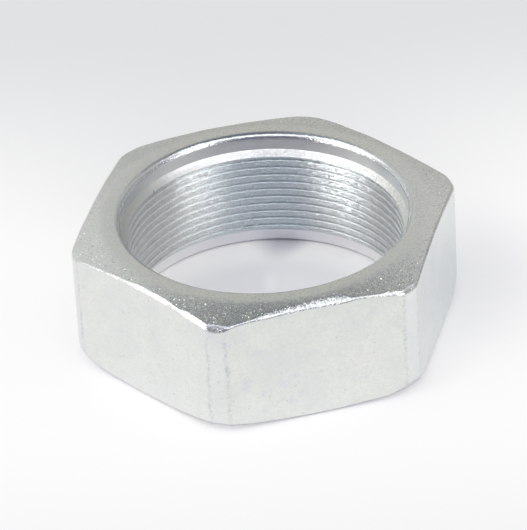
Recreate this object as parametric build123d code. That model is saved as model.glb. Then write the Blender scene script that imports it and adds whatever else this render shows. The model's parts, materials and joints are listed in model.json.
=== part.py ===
from build123d import *
from math import cos, radians, tan
import os

# Axle nut: one steel forging, turned on both ends and in the bore, with a fine metric thread.
# Millimetres, +Z up along the thread's axis, origin at the centre of the lower seat.
# Two opposite corners lie on the X axis, and two opposite flats face +Y and -Y.

# Thread: the bore is modelled at the thread's minor diameter
thread_diameter = 65.0
thread_pitch = 2.0

# Hexagon
flat_wall = 7.5  # from the thread's outer diameter to each flat
thickness = 30.0
corner_trim = 1.2  # turned off each sharp corner, on the radius
corner_radius = 2.0  # rolls each turned corner over into its chamfers
flat_edge_break = 0.8  # bevels the edges all round each flat

# Ends: a flat ring round the bore, then a shallow cone out to the corners
chamfer_angle = 15.0
top_ring_inset = 3.0  # from each flat to the edge of the upper ring
seat_inset = 1.0  # the same for the lower ring, which bears on the washer or hub

# Reliefs: a plain counterbore at each end, clear of the axle's thread
relief_clearance = 0.25  # on the radius
top_relief_depth = 4.1
seat_relief_depth = 3.5
top_mouth_radius = 1.6  # rounds the mouth of the upper relief
seat_mouth_chamfer = 1.0  # opens the mouth of the lower relief
lead_angle = 45.0  # of the cone from each relief down to the thread, against the axis

# An internal ISO metric thread is cut to 5/8 of its 60 degree triangle's height
thread_height = 5 / 8 * thread_pitch * cos(radians(30))
bore_r = thread_diameter / 2 - thread_height
relief_r = thread_diameter / 2 + relief_clearance
lead_length = (relief_r - bore_r) / tan(radians(lead_angle))

flat_distance = thread_diameter / 2 + flat_wall  # from the axis: 80 mm across the flats
corner_r = flat_distance / cos(radians(30)) - corner_trim
top_ring_r = flat_distance - top_ring_inset
seat_r = flat_distance - seat_inset
top_cone_base = thickness - (corner_r - top_ring_r) * tan(radians(chamfer_angle))
seat_cone_base = (corner_r - seat_r) * tan(radians(chamfer_angle))


def turned_blank():
    """The nut as it would be with no flats: its half section, rounded and then revolved."""
    with BuildPart() as blank:
        with BuildSketch(Plane.XZ) as section:
            with BuildLine():
                Polyline(
                    (bore_r, seat_relief_depth + lead_length),
                    (relief_r, seat_relief_depth),
                    (relief_r, 0),
                    (seat_r, 0),
                    (corner_r, seat_cone_base),
                    (corner_r, top_cone_base),
                    (top_ring_r, thickness),
                    (relief_r, thickness),
                    (relief_r, thickness - top_relief_depth),
                    (bore_r, thickness - top_relief_depth - lead_length),
                    close=True,
                )
            make_face()
            fillet(section.vertices().group_by(Axis.X)[-1], corner_radius)
            relief_corners = section.vertices().group_by(Axis.X)[1].sort_by(Axis.Y)
            fillet(relief_corners[-1], top_mouth_radius)
            relief_corners = section.vertices().group_by(Axis.X)[1].sort_by(Axis.Y)
            chamfer(relief_corners[0], seat_mouth_chamfer)
        revolve(axis=Axis.Z)
    return blank.part


def axle_nut():
    """The turned blank with six flats cut on it, and the edges of the flats bevelled."""
    hexagon = extrude(RegularPolygon(flat_distance, 6, major_radius=False), thickness)
    nut = turned_blank() & hexagon
    flats = nut.faces().filter_by(GeomType.PLANE).filter_by(Axis.Z, reverse=True)
    return chamfer(flats.edges(), flat_edge_break)


os.makedirs("parts", exist_ok=True)
export_step(axle_nut(), "parts/axle_nut.step")
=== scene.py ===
import json
import math
from types import SimpleNamespace

import bmesh
import bpy
import numpy as np
from mathutils import Matrix, Vector, noise


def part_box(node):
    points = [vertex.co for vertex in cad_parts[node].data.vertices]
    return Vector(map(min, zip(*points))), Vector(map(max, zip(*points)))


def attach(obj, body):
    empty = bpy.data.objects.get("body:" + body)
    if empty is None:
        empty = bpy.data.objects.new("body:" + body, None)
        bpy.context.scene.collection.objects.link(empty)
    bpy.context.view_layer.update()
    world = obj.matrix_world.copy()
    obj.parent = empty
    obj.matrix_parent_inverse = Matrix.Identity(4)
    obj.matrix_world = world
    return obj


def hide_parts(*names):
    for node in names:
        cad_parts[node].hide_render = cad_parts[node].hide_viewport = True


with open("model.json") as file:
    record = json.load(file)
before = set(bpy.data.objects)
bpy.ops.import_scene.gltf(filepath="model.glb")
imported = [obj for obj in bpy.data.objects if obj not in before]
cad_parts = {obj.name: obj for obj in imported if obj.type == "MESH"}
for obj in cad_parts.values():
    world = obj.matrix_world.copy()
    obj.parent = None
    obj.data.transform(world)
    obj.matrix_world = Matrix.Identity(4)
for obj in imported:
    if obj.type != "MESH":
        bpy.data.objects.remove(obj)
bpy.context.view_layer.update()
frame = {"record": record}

MM = 0.001
DEGREE = math.pi / 180

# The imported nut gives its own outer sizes, and its thread
low, high = (Vector(corner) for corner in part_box("axle_nut"))
THICKNESS = high.z - low.z
FLAT_DISTANCE = high.y
CORNER_RADIUS = high.x
thread_mount = next(m for m in frame["record"]["mounts"] if m["name"] == "thread")
CREST_RADIUS = thread_mount["dims"]["r_mm"] * MM
CORNERS = [60 * DEGREE * i for i in range(6)]
FRONT_CORNER = CORNERS[4]
FRONT_LEFT_FLAT, FRONT_RIGHT_FLAT = 3, 4  # the flats to both sides of it, counted like the corners
STRIP_HALF = 30 * DEGREE - math.acos(FLAT_DISTANCE / CORNER_RADIUS)  # of a corner's turned strip

# Sizes that the nut's turned ends share with its solid
END_ANGLE = 15 * DEGREE
END_SLOPE = math.tan(END_ANGLE)
EDGE_RUN = math.tan((90 * DEGREE - END_ANGLE) / 2)  # a rounded edge's length, over its radius
TOP_RING_RADIUS = FLAT_DISTANCE - 3.0 * MM
SEAT_RADIUS = FLAT_DISTANCE - 1.0 * MM
RELIEF_RADIUS = 32.75 * MM
TOP_RELIEF_DEPTH = 4.1 * MM
SEAT_RELIEF_DEPTH = 3.5 * MM
MOUTH_RADIUS = 1.6 * MM
SEAT_MOUTH_CHAMFER = 1.0 * MM

# Thread: its groove widens from the root to the crest by 60 degrees
PITCH = 2.0 * MM
CREST_FLAT = 0.62 * PITCH
ROOT_FLAT = PITCH / 8
ROOT_RADIUS = CREST_RADIUS + (PITCH - CREST_FLAT - ROOT_FLAT) / 2 / math.tan(30 * DEGREE)
THREAD_BREAK = 0.04 * MM  # a narrow bevel on the crest's edges, half way between crest and flank
THREAD_PHASE = 0.89  # of a turn
THREAD_HAND = -1  # left-hand

# The camera: its place is an orbit about the nut's axis, and its aim a tilt
CAMERA_ORBIT = -14.15 * DEGREE
CAMERA_DISTANCE = 0.95106
CAMERA_ELEVATION = 34.16 * DEGREE
CAMERA_TILT = 33.40 * DEGREE
CAMERA_PAN = 0.06 * DEGREE
CAMERA_ROLL = -3.40 * DEGREE
CAMERA_LENS = 280.3

FLOOR_HALF = 3.0
LAMP_HEIGHT = 1.0


def smooth_step(edge_0, edge_1, x):
    """0 below edge_0 and 1 above edge_1, with a smooth rise between them."""
    t = np.clip((x - edge_0) / (edge_1 - edge_0), 0, 1)
    return t * t * (3 - 2 * t)


def wander(points, size, seed):
    """Smooth noise from -1 to 1 at each point, with features of the size given."""
    offset = Vector((seed, 1.7 * seed, -0.9 * seed))
    return np.array([noise.noise(Vector(p) / size + offset) for p in points])


# ---------------------------------------------------------------- the nut's mesh

EVEN_COLUMNS = 480
STRIP_COLUMNS = 3  # extra ones to each side of a corner strip's edge
STRIP_SPREAD = 0.55 * DEGREE
LEAST_SPACING = 0.03 * DEGREE
SHARP_ANGLE = 28 * DEGREE
WELD_DISTANCE = 0.002 * MM

# Rows of the outer surface, from the upper relief to the lower one
MOUTH_ROWS = 10
RING_ROWS = 14
EDGE_ROWS = 14
SIDE_ROWS = 12
SEAT_EDGE_ROWS = 6

FLAT_HOLLOW = 0.12 * MM  # in the middle of a forged flat
CONE_SOFTNESS = 0.9 * MM  # where the ring on top turns into the cone


def column_angles():
    """Angles round the axis: evenly spread, with more at the edges of the corner strips."""
    angles = {round(2 * math.pi * i / EVEN_COLUMNS, 9) for i in range(EVEN_COLUMNS)}
    for corner in CORNERS:
        for side in (-1, 1):
            edge = corner + side * STRIP_HALF
            for i in range(-STRIP_COLUMNS, STRIP_COLUMNS + 1):
                angles.add(round((edge + i * STRIP_SPREAD / STRIP_COLUMNS) % (2 * math.pi), 9))
    ordered = sorted(angles)
    kept = [ordered[0]]
    for angle in ordered[1:]:
        if angle - kept[-1] > LEAST_SPACING:
            kept.append(angle)
    return np.array(kept)


def side_radius(angles):
    """The hexagon with its corners turned down, softer at the back, and flats a little hollow."""
    from_flat = (angles % (60 * DEGREE)) - 30 * DEGREE
    flat = FLAT_DISTANCE / np.cos(from_flat)
    softness = (0.42 + 0.34 * np.sin(angles)) * MM
    trim = FLAT_DISTANCE / math.cos(30 * DEGREE) - CORNER_RADIUS
    gap = CORNER_RADIUS + softness**2 / trim - flat
    hollow = FLAT_HOLLOW * (1 + np.cos(6 * from_flat)) / 2
    return flat + gap / 2 - np.sqrt(gap**2 / 4 + softness**2) - hollow


def around_nut(angles):
    """Points on the circle through the corners, for noise that runs round the nut."""
    return np.stack([np.cos(angles), np.sin(angles), 0 * angles], 1) * CORNER_RADIUS


def wide_stretch(along, start, end, width, blend):
    """A stretch of an edge, from start to end along its flat, that is beaten wider."""
    rise = smooth_step(start - blend, start + blend, along)
    fall = smooth_step(end - blend, end + blend, along)
    return width * rise * (1 - fall)


# Where the front flats' upper edges are beaten wider: start and end from -1 to 1 along the flat,
# width and blend
BEATEN_STRETCHES = {
    FRONT_LEFT_FLAT: [
        (-0.09, 0.46, 0.525 * MM, 0.10),
        (0.66, 1.00, 0.7875 * MM, 0.06),
    ],
    FRONT_RIGHT_FLAT: [
        (-1.10, -0.90, 0.675 * MM, 0.06),
        (-0.62, 0.42, 1.125 * MM, 0.12),
        (0.00, 0.42, 0.525 * MM, 0.05),
        (0.76, 1.03, 0.75 * MM, 0.06),
    ],
}


def beaten_width(angles, seed):
    """How far the upper edge is beaten: by chance round the nut, as listed on the front flats."""
    ring = around_nut(angles)
    slow = wander(ring, 8 * MM, seed)
    ragged = wander(ring, 1.6 * MM, seed + 3) + 0.7 * wander(ring, 0.7 * MM, seed + 6)
    width = (0.45 + 0.5 * slow) * MM
    flat = np.floor(angles / (60 * DEGREE)).astype(int) % 6
    along = np.tan(angles % (60 * DEGREE) - 30 * DEGREE) / math.tan(30 * DEGREE - STRIP_HALF)
    for face, stretches in BEATEN_STRETCHES.items():
        total = 0.08 * MM + sum(wide_stretch(along, *stretch) for stretch in stretches)
        width = np.where(flat == face, total, width)
    return np.clip(width * (1 + 0.14 * ragged), 0.0, 2.0 * MM)


def near_corner(angles, start, end):
    """1 at the corners and 0 along the flats."""
    from_corner = np.abs((angles + 30 * DEGREE) % (60 * DEGREE) - 30 * DEGREE)
    return 1 - smooth_step(start, end, from_corner)


def rounded_edge(lean, radius, flattened, steps):
    """Rows of an edge, as lengths in from its foot and up from it. Its normal leans from level up
    to lean. Each flattened band has the middle and spread of its normals, and its width."""
    turn = np.linspace(0, lean, steps + 1)
    middle = ((turn[1:] + turn[:-1]) / 2)[:, None]
    length = radius[None, :] * (turn[1] - turn[0])
    for elevation, spread, width in flattened:
        share = np.exp(-(((middle - elevation) / spread) ** 2))
        length = length + share / share.sum(0) * width[None, :]
    start = np.zeros((1, len(radius)))
    inward = np.concatenate([start, np.cumsum(length * np.sin(middle), 0)])
    upward = np.concatenate([start, np.cumsum(length * np.cos(middle), 0)])
    return inward, upward


def arc(centre_r, centre_z, radius, start, end, steps):
    """Rows of a rounded edge, from one elevation of its normal to another."""
    turn = np.linspace(start, end, steps + 1)[:, None]
    return centre_r + radius * np.cos(turn), centre_z + radius * np.sin(turn)


def line(start_r, start_z, end_r, end_z, steps):
    """Rows between two places, without the first."""
    t = np.linspace(0, 1, steps + 1)[1:, None]
    return start_r + (end_r - start_r) * t, start_z + (end_z - start_z) * t


def top_drop(radius):
    """How far the top has fallen away from the ring's plane, with a soft start to the cone."""
    beyond = radius - TOP_RING_RADIUS
    return END_SLOPE * (beyond + np.sqrt(beyond**2 + CONE_SOFTNESS**2)) / 2


def edge_roundings(angles, side):
    """The upper edge, in and up from its foot, and the radius of the seat's edge."""
    ring = around_nut(angles)
    corner = near_corner(angles, 0.2 * DEGREE, 4.6 * DEGREE)
    front_corner = np.abs(angles - FRONT_CORNER) < 30 * DEGREE
    front_right = np.floor(angles / (60 * DEGREE)) == FRONT_RIGHT_FLAT

    # On top, the corners are rounder than the flats, except the front one, which is knocked flat
    rounder = 1 + np.where(front_corner, -0.6, 1.5) * corner
    top_round = (0.55 + 0.20 * wander(ring, 5 * MM, 3)) * MM * rounder
    beaten = beaten_width(angles, 4) * (1 - corner)
    beaten_lean = np.where(front_right, 55, 46) * DEGREE
    knocked = np.where(front_corner, 2.0, 0.5) * MM * corner
    flattened = [(beaten_lean, 11 * DEGREE, beaten), (28 * DEGREE, 17 * DEGREE, knocked)]
    top_in, top_up = rounded_edge(90 * DEGREE - END_ANGLE, top_round, flattened, EDGE_ROWS)

    # At the seat they are rounder too, as far as the chamfer leaves room
    rounder = np.where(front_corner, 1.0, 2.4) * near_corner(angles, 0, 9 * DEGREE)
    seat_round = (0.75 + 0.3 * wander(ring, 6 * MM, 8) + rounder) * MM
    room = (side - SEAT_RADIUS) / math.cos(END_ANGLE) * 0.8 / EDGE_RUN
    return top_in, top_up, np.minimum(seat_round, room)


def outer_rows(angles):
    """Rows of radius and height, from the upper relief over the outside to the lower one."""
    flat = np.zeros_like(angles)
    side = side_radius(angles)
    top_in, top_up, seat_round = edge_roundings(angles, side)
    rows = [(flat + RELIEF_RADIUS, flat + THICKNESS - TOP_RELIEF_DEPTH)]

    def add(block):
        rows.extend(zip(*(np.broadcast_to(part, (len(part), len(angles))) for part in block)))

    # Up the relief and round the mouth
    mouth_base = THICKNESS - MOUTH_RADIUS
    add(line(rows[-1][0], rows[-1][1], flat + RELIEF_RADIUS, flat + mouth_base, 3))
    mouth_r, mouth_z = arc(flat + RELIEF_RADIUS + MOUTH_RADIUS, flat + mouth_base, MOUTH_RADIUS,
                           180 * DEGREE, 90 * DEGREE, MOUTH_ROWS)
    add((mouth_r[1:], mouth_z[1:]))

    # Out over the ring and the cone
    cone_end = side - top_in[-1]
    ring_r, _ = line(rows[-1][0], rows[-1][1], cone_end, flat, RING_ROWS)
    fall = top_drop(ring_r) - top_drop(RELIEF_RADIUS + MOUTH_RADIUS)
    late = (ring_r - ring_r[0]) / (ring_r[-1] - ring_r[0])
    true_end = (cone_end - TOP_RING_RADIUS) * END_SLOPE
    fall = fall + late**3 * (true_end - fall[-1])
    add((ring_r, THICKNESS - fall))

    # Over the upper edge, down the flats and round the seat's edge
    foot = rows[-1][1] - top_up[-1]
    add(((side - top_in)[-2::-1], (foot + top_up)[-2::-1]))
    seat_start = (side - SEAT_RADIUS) * END_SLOPE + EDGE_RUN * seat_round
    add(line(side, rows[-1][1], side, seat_start, SIDE_ROWS))
    low_r, low_z = arc(side - seat_round, seat_start, seat_round,
                       0, END_ANGLE - 90 * DEGREE, SEAT_EDGE_ROWS)
    add((low_r[1:], low_z[1:]))

    # In along the chamfer and the seat, and up its mouth and relief
    add(line(rows[-1][0], rows[-1][1], flat + SEAT_RADIUS, flat, 2))
    add(line(flat + SEAT_RADIUS, flat, flat + RELIEF_RADIUS + SEAT_MOUTH_CHAMFER, flat, 3))
    add(line(rows[-1][0], flat, flat + RELIEF_RADIUS, flat + SEAT_MOUTH_CHAMFER, 2))
    add(line(rows[-1][0], rows[-1][1], flat + RELIEF_RADIUS, flat + SEAT_RELIEF_DEPTH, 3))
    return np.array([r for r, _ in rows]), np.array([z for _, z in rows])


def thread_stations():
    """Heights within one pitch, from the middle of a crest, where the thread's section bends."""
    crest_edge = CREST_FLAT / 2
    root_edge = (PITCH - ROOT_FLAT) / 2
    bevel = [crest_edge - 2 * THREAD_BREAK, crest_edge + THREAD_BREAK]
    half = bevel + [(crest_edge + root_edge) / 2, root_edge]
    return half + [PITCH - height for height in reversed(half)]


def thread_radius(height):
    """The radius of the threaded wall at a height above the middle of a crest."""
    from_crest = np.abs((height + PITCH / 2) % PITCH - PITCH / 2)
    flank = (from_crest - CREST_FLAT / 2) / ((PITCH - ROOT_FLAT - CREST_FLAT) / 2)
    return CREST_RADIUS + (ROOT_RADIUS - CREST_RADIUS) * np.clip(flank, 0, 1)


def bore_rows(angles):
    """Rows of radius and height along the thread's helix, cut off level at both reliefs."""
    bottom, top = SEAT_RELIEF_DEPTH, THICKNESS - TOP_RELIEF_DEPTH
    turns = math.ceil((top - bottom) / PITCH) + 1
    stations = [PITCH * turn + height for turn in range(-2, turns) for height in thread_stations()]
    rise = bottom + PITCH * (THREAD_PHASE + THREAD_HAND * angles / (2 * math.pi))[None, :]
    height = np.clip(np.array(stations)[:, None] + rise, bottom, top)

    def cone(z):
        return np.maximum(RELIEF_RADIUS - (z - bottom), RELIEF_RADIUS - (top - z))

    # Where a lead cone runs out on the thread, the nearer of two rows moves onto the edge
    over = cone(height) - thread_radius(height - rise)
    crossing = (over[:-1] > 0) != (over[1:] > 0)
    share = over[:-1] / np.where(crossing, over[:-1] - over[1:], 1)
    edge = height[:-1] + share * (height[1:] - height[:-1])
    moved = height.copy()
    moved[:-1] = np.where(crossing & (share < 0.5), edge, moved[:-1])
    moved[1:] = np.where(crossing & (share >= 0.5), edge, moved[1:])
    return np.maximum(cone(moved), thread_radius(moved - rise)), moved


def grid_faces(rows, columns, first):
    """Quads between neighbouring rows and columns, whose vertices start at first."""
    corners = [first + row * columns + column
               for row in range(rows - 1) for column in range(columns - 1)]
    return [(corner + columns, corner + columns + 1, corner + 1, corner) for corner in corners]


def nut_mesh():
    """The whole surface of the nut, closed, with its thread as a true helix."""
    angles = column_angles()
    closed = np.append(angles, angles[0] + 2 * math.pi)
    vertices = []
    faces = []
    for radius, height in (outer_rows(np.append(angles, angles[0])), bore_rows(closed)):
        faces += grid_faces(len(radius), len(closed), len(vertices))
        grid = np.stack([radius * np.cos(closed), radius * np.sin(closed), height], 2)
        vertices += grid.reshape(-1, 3).tolist()
    mesh = bpy.data.meshes.new("threaded_nut")
    mesh.from_pydata(vertices, [], faces)
    work = bmesh.new()
    work.from_mesh(mesh)
    bmesh.ops.remove_doubles(work, verts=work.verts, dist=WELD_DISTANCE)
    bmesh.ops.recalc_face_normals(work, faces=work.faces)
    work.to_mesh(mesh)
    work.free()
    mesh.shade_smooth()
    mesh.set_sharp_from_angle(angle=SHARP_ANGLE)
    return mesh


# ---------------------------------------------------------------- shader maths


class Value:
    """A socket's value. Each operator on it adds a Math node to its tree."""

    def __init__(self, tree, socket):
        self.tree = tree
        self.socket = socket

    def math(self, operation, *values):
        return self.tree.node("ShaderNodeMath", {"operation": operation}, dict(enumerate(values)))

    def __add__(self, other):
        return self.math("ADD", self, other)

    def __radd__(self, other):
        return self.math("ADD", other, self)

    def __sub__(self, other):
        return self.math("SUBTRACT", self, other)

    def __rsub__(self, other):
        return self.math("SUBTRACT", other, self)

    def __mul__(self, other):
        return self.math("MULTIPLY", self, other)

    def __rmul__(self, other):
        return self.math("MULTIPLY", other, self)

    def __truediv__(self, other):
        return self.math("DIVIDE", self, other)

    def __pow__(self, other):
        return self.math("POWER", self, other)

    def size(self):
        """The value without its sign."""
        return self.math("ABSOLUTE", self)


CELL_OUTPUTS = ("distance", "colour")
COORDINATES = ("generated", "normal", "uv", "object")
LIGHT_RAYS = ("camera", "shadow", "diffuse", "glossy")


class Tree:
    """A node tree that is built from Python expressions."""

    def __init__(self, owner):
        owner.use_nodes = True
        self.tree = owner.node_tree
        self.tree.nodes.clear()

    def node(self, kind, settings=None, sockets=None, out=0):
        """A node of any type, with its settings made first and then its sockets."""
        node = self.tree.nodes.new(kind)
        for name, setting in (settings or {}).items():
            if name == "stops":
                self.set_stops(node.color_ramp, setting)
            else:
                setattr(node, name, setting)
        for key, value in (sockets or {}).items():
            socket = node.inputs[key]
            if isinstance(value, Value):
                self.tree.links.new(value.socket, socket)
            elif socket.type == "RGBA" and len(value) == 3:
                socket.default_value = (*value, 1)
            else:
                socket.default_value = value
        return Value(self, node.outputs[out]) if node.outputs else None

    def coordinate(self, kind):
        return self.node("ShaderNodeTexCoord", out=COORDINATES.index(kind))

    def seen_by(self, ray):
        """1 where a ray of this kind meets the surface, and 0 for other rays."""
        return self.node("ShaderNodeLightPath", out=LIGHT_RAYS.index(ray))

    @staticmethod
    def set_stops(ramp, stops):
        while len(ramp.elements) < len(stops):
            ramp.elements.new(0.5)
        for element, (position, colour) in zip(ramp.elements, stops):
            element.position = position
            element.color = (*colour, 1)

    def step(self, value, start, end):
        """A smooth rise from 0 at start to 1 at end, or a fall where end is the lower."""
        settings = {"interpolation_type": "SMOOTHSTEP"}
        sockets = {0: value, 1: start, 2: end}
        if start > end:
            sockets = {0: value, 1: end, 2: start, 3: 1.0, 4: 0.0}
        return self.node("ShaderNodeMapRange", settings, sockets)

    def mix(self, factor, first, second):
        """One colour turning into another."""
        settings = {"data_type": "RGBA"}
        return self.node("ShaderNodeMix", settings, {0: factor, 6: first, 7: second}, out=2)

    def vector(self, operation, *values, out=0):
        settings = {"operation": operation}
        return self.node("ShaderNodeVectorMath", settings, dict(enumerate(values)), out)

    def along(self, vector, azimuth, elevation=0):
        """How far a vector reaches in one direction."""
        return self.vector("DOT_PRODUCT", vector, direction(azimuth, elevation), out=1)

    def split(self, vector):
        """The x, y and z of a vector."""
        return [self.node("ShaderNodeSeparateXYZ", None, {0: vector}, out) for out in range(3)]

    def join(self, x, y, z):
        """A vector from its x, y and z."""
        return self.node("ShaderNodeCombineXYZ", None, {0: x, 1: y, 2: z})

    def cloud(self, place, size, detail=2.0, roughness=0.5):
        """Soft noise from 0 to 1, with features of the size given."""
        sockets = {"Vector": place, "Scale": 1 / size, "Detail": detail, "Roughness": roughness}
        return self.node("ShaderNodeTexNoise", None, sockets)

    def cells(self, place, size, out):
        """Cells of the size given: how far the nearest middle is, or that cell's chance colour."""
        settings = {"feature": "F1"}
        sockets = {"Vector": place, "Scale": 1 / size}
        return self.node("ShaderNodeTexVoronoi", settings, sockets, CELL_OUTPUTS.index(out))


# ---------------------------------------------------------------- the nut's finish


def direction(azimuth, elevation):
    """A unit vector: azimuth 0 is to the right of the nut's front, 90 behind it, -90 before it."""
    turn = azimuth * DEGREE + CAMERA_ORBIT
    rise = elevation * DEGREE
    level = math.cos(rise)
    return Vector((math.cos(turn) * level, math.sin(turn) * level, math.sin(rise)))


def nut_places(tree):
    """Where a point lies on the nut, and the patterns that its finishes share."""
    at = SimpleNamespace(place=tree.coordinate("object"))
    at.x, at.y, at.height = tree.split(at.place)
    at.radius = (at.x * at.x + at.y * at.y) ** 0.5
    at.turn = tree.node("ShaderNodeMath", {"operation": "ARCTAN2"}, {0: at.y, 1: at.x})
    _, _, at.upward = tree.split(tree.coordinate("normal"))
    at.across = tree.along(at.place, 0)
    at.away = tree.along(at.place, 90)
    at.sideways = at.across.size()
    at.left_half = tree.step(at.across, 4 * MM, -8 * MM)

    # Round the axis from the nearest corner, in steps between corners, and from the front one
    sixth = at.turn * (3 / math.pi)
    nearest = tree.node("ShaderNodeMath", {"operation": "ROUND"}, {0: sixth})
    at.from_corner = (sixth - nearest).size()
    at.from_front = (at.turn - FRONT_CORNER + 2 * math.pi).size()

    # Turned steel is streaked along the cut, where a turn counts for little length; forged steel is
    # mottled and a little stained
    at.flake = tree.cells(at.place, 0.22 * MM, "colour")
    at.along_cut = tree.join(at.radius, at.turn * 0.0045, at.height)
    at.streaks = tree.cloud(at.along_cut, 0.16 * MM, 3.0, 0.6)
    at.grain = tree.cloud(at.place, 0.35 * MM, 3.0, 0.65)
    at.speckle = tree.cloud(at.place, 0.6 * MM, 4.0, 0.75)
    at.mottle = tree.cloud(at.place, 7 * MM, 5.0, 0.6)
    at.stain = tree.step(tree.cloud(at.place, 4.5 * MM, 4.0, 0.7), 0.54, 0.74)
    return at


def nut_faces(tree, at):
    """How far a point belongs to each face of the nut, from 0 to 1."""
    on = SimpleNamespace()
    on.bore = tree.step(at.radius, RELIEF_RADIUS + 0.9 * MM, RELIEF_RADIUS + 0.1 * MM)
    on.top = tree.step(at.upward, 0.80, 0.92) * (1 - on.bore)
    on.cone = on.top * tree.step(at.radius, TOP_RING_RADIUS - 2.5 * MM, TOP_RING_RADIUS + 3.5 * MM)
    on.ring = on.top - on.cone
    on.edge = tree.step(at.upward, 0.12, 0.35) * (1 - on.top) * (1 - on.bore)
    on.thread = on.bore * tree.step(at.radius, RELIEF_RADIUS - 0.03 * MM, RELIEF_RADIUS - 0.15 * MM)
    on.lead = on.bore * tree.step(at.upward, 0.60, 0.66) * tree.step(at.upward, 0.80, 0.74)
    on.lip = tree.step(at.upward, 0.15, 0.35) * tree.step(at.upward, 0.99, 0.93)
    on.lip = on.lip * tree.step(at.radius, RELIEF_RADIUS + 1.9 * MM, RELIEF_RADIUS + 1.5 * MM)
    on.lip = on.lip * (1 - on.lead) * tree.step(at.height, 20 * MM, 28 * MM)
    return on


def forged_colour(tree, at):
    """The flats: mottled, speckled, stained, pitted and scratched, turned at the corners, and
    painted with light and shade.
    """
    colour = tree.mix(tree.step(at.mottle, 0.25, 0.75), (0.765, 0.785, 0.765), (0.84, 0.85, 0.805))
    speckled = tree.step(at.speckle, 0.35, 0.70)
    colour = tree.mix(speckled * 0.60, colour, (0.71, 0.72, 0.72))
    colour = tree.mix(at.stain * 0.65, colour, (0.65, 0.69, 0.74))
    # Painted light: the right flat is tinted bluer for the light it reflects
    painted_blue_tint = tree.step(at.across, 30 * MM, 38 * MM)
    colour = tree.mix(painted_blue_tint * 0.3, colour, (0.80, 0.84, 0.88))
    pits = tree.step(tree.cells(at.place, 2.6 * MM, "distance"), 0.11, 0.05)
    colour = tree.mix(pits * 0.45, colour, (0.45, 0.46, 0.48))

    # Scratches run slanting down the flats, in patches
    around = at.turn * FLAT_DISTANCE
    slanting = tree.join((around + 0.6 * at.height) * 0.14, at.height - 0.45 * around, at.radius)
    scratches = tree.step(tree.cloud(slanting, 0.34 * MM, 1.0, 0.5), 0.69, 0.77)
    scratches = scratches * tree.step(at.mottle, 0.48, 0.60)
    colour = tree.mix(scratches * 0.45, colour, (0.50, 0.52, 0.56))
    # Painted shade: faces that turn down to the paper are darkened lavender, for the contact shadow
    # under the nut
    painted_contact_shade = tree.step(at.upward, -0.10, -0.60)
    colour = tree.mix(painted_contact_shade * 0.8, colour, (0.42, 0.42, 0.50))

    # The turned strips at the corners have broken, dotted borders
    strip_half = STRIP_HALF / (60 * DEGREE)
    on_strip = tree.step(at.from_corner, strip_half + 0.004, strip_half - 0.004)
    colour = tree.mix(on_strip * 0.22, colour, (0.80, 0.84, 0.87))
    uneven = at.from_corner - strip_half + 0.03 * (tree.cloud(at.place, 1.6 * MM) - 0.5)
    dots = tree.step(tree.cloud(at.place, 0.9 * MM, 4.0, 0.8), 0.45, 0.60)
    border = tree.step(uneven.size(), 0.016, 0.000) * (0.12 + 0.88 * dots)
    border = border * tree.step(at.mottle, 0.30, 0.58)
    return tree.mix(border * 0.5, colour, (0.40, 0.42, 0.46))


def top_colours(tree, at):
    """The ring and the cone on top: grainy, with grit at the back and at the right."""
    back_right = tree.step(at.across + at.away, 5 * MM, 30 * MM)
    gritty = tree.mix(tree.step(at.speckle, 0.40, 0.60), (0.60, 0.60, 0.555), (0.93, 0.93, 0.88))
    ring = tree.mix(tree.step(at.grain, 0.30, 0.70), (0.62, 0.64, 0.61), (0.86, 0.86, 0.79))
    ring = tree.mix(0.09, ring, at.flake)
    ring = tree.mix(back_right * 0.55, ring, gritty)
    ring = tree.mix(at.stain * 0.3, ring, (0.62, 0.61, 0.56))
    cone = tree.mix(at.grain, (0.62, 0.65, 0.62), (0.88, 0.89, 0.85))
    cone = tree.mix(0.11, cone, at.flake)
    cone = tree.mix(back_right * 0.55, cone, gritty)
    return ring, cone


def edge_colour(tree, at):
    """The upper edge: darker and speckled, lighter at both sides by painted light, and darker at
    the front tip by painted shade.
    """
    colour = tree.mix(tree.step(at.speckle, 0.40, 0.64), (0.68, 0.69, 0.67), (0.40, 0.42, 0.45))
    # Painted light lightens the edge at the left and at the right
    painted_edge_light_left = tree.step(at.across, -10 * MM, -14 * MM)
    colour = tree.mix(painted_edge_light_left * 0.7, colour, (0.74, 0.74, 0.72))
    painted_edge_light_right = tree.step(at.across, 34 * MM, 40 * MM)
    colour = tree.mix(painted_edge_light_right * 0.7, colour, (0.74, 0.75, 0.73))
    # Painted shade darkens the front tip, lavender
    painted_tip_shade = tree.step(at.from_front, 4.5 * DEGREE, 2.0 * DEGREE)
    painted_tip_shade = painted_tip_shade * tree.step(at.upward, 0.50, 0.62)
    return tree.mix(painted_tip_shade, colour, (0.42, 0.43, 0.49))


def relief_colour(tree, at):
    """The turned walls of the reliefs, in painted light and shade: the upper one dark at the back
    and lighter to the sides and at the right, the lower one pale with a painted lavender reflection
    of the paper at the back.
    """
    painted_light_sideways = tree.step(at.sideways, 6 * MM, 26 * MM)
    upper = tree.mix(painted_light_sideways, (0.51, 0.52, 0.55), (0.74, 0.735, 0.71))
    # Painted light brightens the upper wall at the right
    painted_light_at_right = tree.step(at.across, 17 * MM, 27 * MM)
    upper = tree.mix(painted_light_at_right * 0.7, upper, (0.94, 0.96, 0.92))
    lower = tree.mix(painted_light_sideways, (0.80, 0.79, 0.85), (0.93, 0.91, 0.92))
    colour = tree.mix(tree.step(at.height, 10 * MM, 20 * MM), lower, upper)
    return tree.mix(at.streaks * 0.4, colour, (0.80, 0.80, 0.82))


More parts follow.
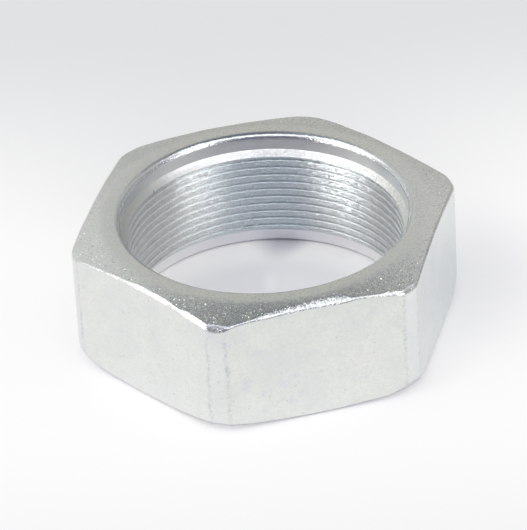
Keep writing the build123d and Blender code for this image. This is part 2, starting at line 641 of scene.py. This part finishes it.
def thread_colour(tree, at):
    """The thread: streaked, bluer and darker at the back by painted reflection, with painted
    highlight lines on the crests at the sides.
    """
    # Painted reflection: the thread is bluer and darker at the back
    painted_blue_back = tree.step(at.sideways, 17 * MM, 5 * MM)
    dark = tree.mix(painted_blue_back, (0.575, 0.605, 0.615), (0.51, 0.585, 0.64))
    light = tree.mix(painted_blue_back, (0.79, 0.81, 0.805), (0.72, 0.78, 0.83))
    colour = tree.mix(at.streaks, dark, light)

    # How far a point lies above the middle of a crest, as a share of the pitch. At the sides the
    # crest's upper edge gets a painted highlight line
    winding = at.height / PITCH - at.turn * (THREAD_HAND / (2 * math.pi))
    winding = winding - (SEAT_RELIEF_DEPTH / PITCH + THREAD_PHASE)
    winding = tree.node("ShaderNodeMath", {"operation": "FRACT"}, {0: winding})
    crest_line = tree.step((winding - 0.27).size(), 0.09, 0.03)
    painted_crest_highlight = tree.mix(crest_line, (0.60, 0.60, 0.585), (0.90, 0.885, 0.855))
    # Painted highlight: the crest lines show at both sides
    painted_light_at_left = tree.step(at.across, -15 * MM, -24 * MM)
    painted_light_at_right = tree.step(at.across, 21 * MM, 28 * MM)
    colour = tree.mix(painted_light_at_left * 0.9 + painted_light_at_right * 0.6, colour, painted_crest_highlight)

    grainy = tree.mix(tree.step(at.grain, 0.38, 0.62), (0.38, 0.39, 0.41), (1.0, 1.0, 0.98))
    colour = tree.mix(0.13 + 0.10 * at.left_half, colour, grainy)
    return tree.mix(0.05, colour, at.flake)


def lead_colour(tree, at):
    """The lead cone over the thread: bright at the back, grainy at the right, and dulled by painted
    shade at both ends and on its inner half at the left.
    """
    colour = tree.mix(tree.step(at.speckle, 0.35, 0.65), (0.95, 0.95, 0.93), (0.78, 0.79, 0.81))
    # Painted shade dulls both ends
    painted_shade_lead_left = tree.step(at.across, -17 * MM, -30 * MM)
    painted_shade_lead_right = tree.step(at.across, 26 * MM, 34 * MM)
    colour = tree.mix((painted_shade_lead_left + painted_shade_lead_right * 0.6) * 0.9, colour, (0.53, 0.53, 0.49))
    grains = tree.step(at.speckle, 0.44, 0.60) * tree.step(at.across, 12 * MM, 24 * MM)
    colour = tree.mix(grains * 0.6, colour, (0.56, 0.58, 0.54))
    # Painted shade darkens the inner half at the left
    inner_half = tree.step(at.radius, RELIEF_RADIUS - 0.4 * MM, RELIEF_RADIUS - 0.9 * MM)
    painted_light_at_left = tree.step(at.across, -6 * MM, -16 * MM)
    return tree.mix(inner_half * painted_light_at_left * 0.6, colour, (0.60, 0.61, 0.61))


def zinc_colour(tree, at, on):
    """Every face's colour, laid over the forged body."""
    side_corner = tree.step(at.from_corner, 0.080, 0.030)
    side_corner = side_corner * tree.step(at.from_front, 10 * DEGREE, 20 * DEGREE)
    edge = on.edge * (0.85 - 0.6 * side_corner)
    colour = tree.mix(edge, forged_colour(tree, at), edge_colour(tree, at))
    ring, cone = top_colours(tree, at)
    colour = tree.mix(on.ring, colour, ring)
    colour = tree.mix(on.cone, colour, cone)
    # Painted light: the top is lighter towards both sides
    painted_light_sideways = tree.step(at.sideways, 8 * MM, 42 * MM)
    colour = tree.mix(on.top * painted_light_sideways * 0.35, colour, (0.91, 0.93, 0.93))
    bore = tree.mix(on.thread, relief_colour(tree, at), thread_colour(tree, at))
    colour = tree.mix(on.bore, colour, bore)
    colour = tree.mix(on.lead, colour, lead_colour(tree, at))

    # The lip has a painted blue reflection on its shoulder at the back, and painted shade dulls it
    # at both sides
    painted_blue_reflection = on.lip * tree.step(at.upward, 0.70, 0.85)
    far_side = tree.step(at.sideways, 17.5 * MM, 30 * MM)
    colour = tree.mix(painted_blue_reflection * (0.6 - 0.4 * far_side), colour, (0.46, 0.53, 0.58))
    painted_lip_shade_right = on.lip * tree.step(at.across, 26 * MM, 30 * MM)
    colour = tree.mix(painted_lip_shade_right * 0.5, colour, (0.50, 0.52, 0.54))
    painted_lip_shade_left = on.lip * tree.step(at.across, -11 * MM, -19 * MM)
    return tree.mix(painted_lip_shade_left * 0.4, colour, (0.50, 0.53, 0.58))


def zinc_normal(tree, at, on):
    """The way the surface faces: flakes of zinc, the marks of the cut and a thread that is smoother
    at the left.
    """
    # The flakes face a little apart from each other, and a few face well apart
    rare, _, _ = tree.split(tree.cells(at.place, 0.33 * MM, "colour"))
    amount = 0.06 + 0.08 * on.cone + 0.08 * on.ring + 0.11 * on.edge + 0.08 * on.bore
    amount = amount + (rare ** 10.0) * (1.1 * on.cone + 0.5 * on.bore + 0.3 * on.ring)
    lean = tree.vector("SUBTRACT", at.flake, (0.5, 0.5, 0.5))
    lean = tree.node("ShaderNodeVectorMath", {"operation": "SCALE"}, {0: lean, "Scale": amount})
    facing = tree.vector("ADD", tree.node("ShaderNodeNewGeometry", out=1), lean)
    cut = (tree.cloud(at.along_cut, 0.11 * MM, 2.0, 0.6) - 0.41) * on.thread * 2.9
    facing = tree.vector("ADD", facing, tree.join(0, 0, cut))

    # Left of the middle the thread is worn smooth, so its grooves show less
    smooth = 0.22 * at.left_half + 0.12 * tree.step(at.across, -14 * MM, -24 * MM)
    smooth = smooth * on.thread / at.radius
    inward = tree.join(at.x * smooth * -1, at.y * smooth * -1, 0)
    facing = tree.vector("NORMALIZE", tree.vector("ADD", facing, inward))

    turned = on.ring + on.bore
    relief = at.grain * (1 - turned) + at.streaks * turned
    sockets = {"Strength": 0.35, "Distance": 0.012 * MM, "Height": relief, "Normal": facing}
    return tree.node("ShaderNodeBump", None, sockets)


def zinc_plate():
    """Bright zinc over forged and turned steel."""
    material = bpy.data.materials.new("bright_zinc_plate")
    tree = Tree(material)
    at = nut_places(tree)
    on = nut_faces(tree, at)
    roughness = 0.30 - 0.06 * on.cone - 0.02 * on.edge + 0.04 * on.ring + 0.04 * on.bore
    roughness = roughness + 0.10 * on.lead - 0.12 * on.lip + 0.10 * (at.grain - 0.5)
    shader = tree.node("ShaderNodeBsdfPrincipled", None, {
        "Base Color": zinc_colour(tree, at, on),
        "Metallic": 1.0,
        "Roughness": roughness,
        "Normal": zinc_normal(tree, at, on),
    })
    tree.node("ShaderNodeOutputMaterial", None, {"Surface": shader})
    return material


# ---------------------------------------------------------------- the paper


def pale_paper(tree, across, away, mirrored):
    """The paper as the camera and the metal see it: greyer behind and before the nut by painted
    shade, with painted shadows behind the nut and at its right.
    """
    behind = tree.step(away, 35 * MM, 140 * MM)
    colour = tree.mix(behind * 0.9, (0.975, 0.975, 0.975), (0.70, 0.71, 0.715))
    # Painted shadow: a broad grey patch behind the nut
    painted_shadow_behind = tree.step(across.size(), 75 * MM, 10 * MM) * tree.step(away, 25 * MM, 60 * MM)
    painted_shadow_behind = painted_shadow_behind * tree.step(away, 170 * MM, 70 * MM)
    colour = tree.mix(painted_shadow_behind * 0.45, colour, (0.66, 0.67, 0.68))
    # Painted shadow at the nut's right, a little stronger in reflections
    from_right = across - 48 * MM
    from_middle = away - 14 * MM
    distance_to_painted_shadow = (from_right * from_right + 0.4 * (from_middle * from_middle)) ** 0.5
    painted_shadow_right = tree.step(distance_to_painted_shadow, 26 * MM, 2 * MM)
    colour = tree.mix(painted_shadow_right * (0.4 + 0.1 * mirrored), colour, (0.56, 0.57, 0.62))
    # Painted shade: greyer towards the front
    in_front = tree.step(away, -40 * MM, -110 * MM)
    return tree.mix(in_front, colour, (0.89, 0.89, 0.89))


def shaded_wedge(tree, across, away, radius):
    """A wedge of shade inside the nut, which opens towards the wall at the back."""
    from_axis = across - 4.5 * MM + 0.28 * (32 * MM - away)
    half_width = 0.7 * (away - 18.5 * MM)
    wedge = tree.step(from_axis.size() / half_width, 1.0, 0.1)
    return wedge * tree.step(away, 22 * MM, 33 * MM) * tree.step(radius, 38 * MM, 34 * MM)


def lit_paper(tree, across, away, radius, wedge, outside):
    """The paper's diffuse colour. Inside the nut it is painted with light and shade for what its
    bright wall throws on it: a pale band by the wall, a dim spot, a small glow and a shaded wedge.
    """
    # Painted light: a pale band by the wall, darker towards the middle
    middle = tree.step(radius, 30 * MM, 21 * MM)
    colour = tree.mix(middle, (1.0, 0.995, 0.99), (0.82, 0.82, 0.85))
    dim_across = across + 5 * MM
    dim_away = away - 16 * MM
    from_dim_spot = (dim_across * dim_across + dim_away * dim_away) ** 0.5
    dim_spot = tree.step(from_dim_spot, 9 * MM, 2 * MM)
    colour = tree.mix(dim_spot * 0.3, colour, (0.68, 0.68, 0.74))
    glow_across = across - 0.5 * MM
    glow_away = away - 15 * MM
    from_glow = (glow_across * glow_across + 0.15 * (glow_away * glow_away)) ** 0.5
    glow = tree.step(from_glow, 2.6 * MM, 0.3 * MM)
    colour = tree.mix(glow * 0.5, colour, (0.97, 0.96, 1.0))
    colour = tree.mix(wedge * 0.72, colour, (0.44, 0.44, 0.52))
    return tree.mix(outside, colour, (0.93, 0.93, 0.93))


def paper_floor():
    """Matt white paper. The camera and the metal's reflections see it paler than it is lit."""
    material = bpy.data.materials.new("white_paper")
    tree = Tree(material)
    seen = tree.seen_by("camera")
    mirrored = tree.seen_by("glossy")
    place = tree.coordinate("object")
    across = tree.along(place, 0)
    away = tree.along(place, 90)
    x, y, _ = tree.split(place)
    radius = (x * x + y * y) ** 0.5
    wedge = shaded_wedge(tree, across, away, radius)
    outside = tree.step(radius, 36 * MM, 54 * MM)
    lit = tree.node("ShaderNodeBsdfDiffuse", None, {
        "Color": lit_paper(tree, across, away, radius, wedge, outside)})
    pale = tree.node("ShaderNodeEmission", None, {
        "Color": pale_paper(tree, across, away, mirrored), "Strength": 1.0})
    share = (0.26 - 0.20 * wedge + 0.60 * outside) * (seen + mirrored)
    floor = tree.node("ShaderNodeMixShader", None, {0: share, 1: lit, 2: pale})
    tree.node("ShaderNodeOutputMaterial", None, {"Surface": floor})
    return material


# ---------------------------------------------------------------- pieces, light and camera


def link(data, name):
    piece = bpy.data.objects.new(name, data)
    bpy.context.scene.collection.objects.link(piece)
    return piece


def make_nut():
    mesh = nut_mesh()
    mesh.materials.append(zinc_plate())
    nut = link(mesh, "threaded_nut")
    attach(nut, "root")
    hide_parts("axle_nut")


def make_floor():
    mesh = bpy.data.meshes.new("floor")
    corners = [(x * FLOOR_HALF, y * FLOOR_HALF, 0) for x, y in ((-1, -1), (1, -1), (1, 1), (-1, 1))]
    mesh.from_pydata(corners, [], [(0, 1, 2, 3)])
    mesh.materials.append(paper_floor())
    link(mesh, "floor")


def soft_box(name, left, right, far, near, brightness):
    """A lamp that faces down from above, between four distances from the nut's axis."""
    width, depth = right - left, near - far
    lamp = bpy.data.lights.new(name, "AREA")
    lamp.shape = "RECTANGLE"
    lamp.size = width
    lamp.size_y = depth
    lamp.energy = brightness * math.pi * width * depth
    piece = link(lamp, name)
    across, forward = (left + right) / 2, (near + far) / 2
    place = across * direction(0, 0) + forward * direction(-90, 0)
    piece.location = (place.x, place.y, LAMP_HEIGHT)
    piece.rotation_euler.z = CAMERA_ORBIT
    piece.visible_camera = False


def light_tent():
    """White cloth all round: palest half way up, dim overhead and low in front."""
    world = bpy.data.worlds.new("light_tent")
    bpy.context.scene.world = world
    tree = Tree(world)
    way = tree.coordinate("generated")
    _, _, rise = tree.split(way)
    behind = tree.node("ShaderNodeValToRGB", {"stops": [
        (0.0, (0.34, 0.34, 0.33)),
        (0.30, (0.56, 0.56, 0.55)),
        (0.62, (0.67, 0.67, 0.66)),
        (0.90, (0.24, 0.25, 0.27)),
        (1.0, (0.24, 0.26, 0.30)),
    ]}, {0: rise})
    before = tree.node("ShaderNodeValToRGB", {"stops": [
        (0.0, (0.20, 0.21, 0.26)),
        (0.40, (0.22, 0.22, 0.28)),
        (0.72, (0.66, 0.67, 0.70)),
        (1.0, (0.26, 0.28, 0.32)),
    ]}, {0: rise})
    left = tree.step(tree.along(way, 180), 0.05, 0.6)
    behind = tree.mix(left * 0.7, behind, (0.90, 0.91, 0.90))
    cloth = tree.mix(tree.step(tree.along(way, -90), -0.2, 0.3), behind, before)

    # Two small bright lamps low in front, and a dim patch overhead
    for azimuth, elevation, brightness in ((-39, 16, 4.3), (-155, 15, 7.2)):
        lamp = tree.step(tree.along(way, azimuth, elevation), 0.945, 0.985)
        cloth = tree.mix(lamp, cloth, (brightness, brightness, brightness))
    overhead = tree.step(tree.along(way, -20, 81), 0.93, 0.985)
    cloth = tree.mix(overhead * 0.6, cloth, (0.10, 0.12, 0.17))
    colour = tree.mix(tree.seen_by("camera"), cloth, (0.88, 0.88, 0.90))
    sky = tree.node("ShaderNodeBackground", None, {"Color": colour, "Strength": 1.0})
    tree.node("ShaderNodeOutputWorld", None, {"Surface": sky})


def make_camera():
    camera = link(bpy.data.cameras.new("camera"), "camera")
    camera.data.lens = CAMERA_LENS
    camera.data.clip_end = 20
    camera.location = CAMERA_DISTANCE * direction(-90, CAMERA_ELEVATION / DEGREE)
    turn = (Matrix.Rotation(CAMERA_ORBIT + CAMERA_PAN, 3, "Z")
            @ Matrix.Rotation(90 * DEGREE - CAMERA_TILT, 3, "X")
            @ Matrix.Rotation(CAMERA_ROLL, 3, "Z"))
    camera.rotation_euler = turn.to_euler()
    bpy.context.scene.camera = camera


make_camera()
make_floor()
light_tent()
soft_box("right_box", left=0.32, right=0.90, far=-0.05, near=0.70, brightness=1.7)
soft_box("left_box", left=-1.95, right=-0.45, far=-0.20, near=0.50, brightness=1.8)
soft_box("front_box", left=-0.42, right=0.46, far=0.42, near=1.10, brightness=1.6)
make_nut()
bpy.context.scene.view_settings.view_transform = "Standard"
